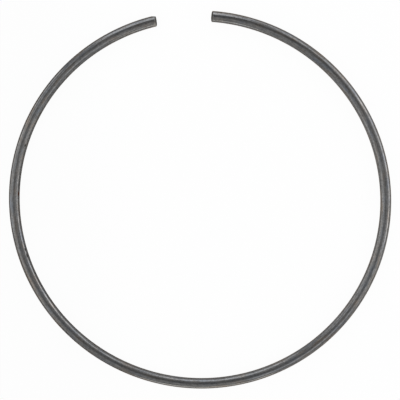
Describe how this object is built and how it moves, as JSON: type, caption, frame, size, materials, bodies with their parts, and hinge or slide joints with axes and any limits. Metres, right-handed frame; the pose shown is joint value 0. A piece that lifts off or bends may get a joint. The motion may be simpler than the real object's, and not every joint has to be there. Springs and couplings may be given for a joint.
{
  "type": "wire circlip retaining ring",
  "caption": "Open snap ring of round spring wire with plain cropped ends, closed up into a bore groove to retain a bearing or cover.",
  "frame": {"origin": "on the ring's axis, in the plane that the ring lies on", "axes": "+Z along the ring's axis and up, +Y through the middle of the opening between the ends, +X to the right end as seen from above"},
  "size_m": [0.1142, 0.1136, 0.0032],
  "materials": {
    "spring_steel": "drawn spring steel wire, dark grey and oiled, satin"
  },
  "bodies": {
    "root": {"snap_ring": "spring_steel"}
  },
  "joints": []
}
